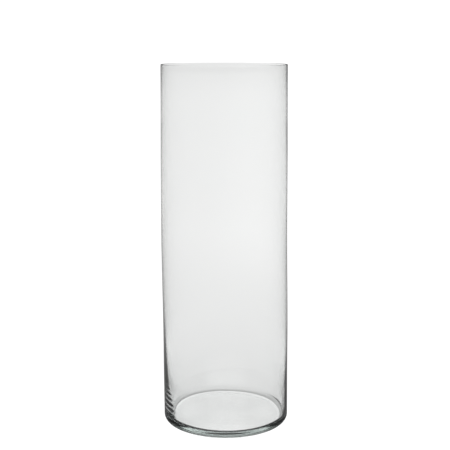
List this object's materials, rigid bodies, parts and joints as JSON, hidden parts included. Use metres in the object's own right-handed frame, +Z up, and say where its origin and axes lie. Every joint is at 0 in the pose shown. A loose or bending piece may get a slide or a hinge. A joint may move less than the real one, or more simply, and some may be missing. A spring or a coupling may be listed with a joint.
{
  "type": "glass cylinder vase",
  "caption": "Tall straight clear glass cylinder vase, open at the top, with a thick flat floor, a heavy rounded foot and a cut rim with polished edges.",
  "frame": {"origin": "centre of the underside, on the surface that the vase stands on", "axes": "+Z up along the vase's own axis, towards the open mouth; X and Y are any two horizontal directions, because the vase is round"},
  "size_m": [0.1781, 0.178, 0.508],
  "materials": {
    "clear_glass": "clear, polished, very slight grey-green tint"
  },
  "bodies": {
    "root": {"vase": "clear_glass"}
  },
  "joints": []
}
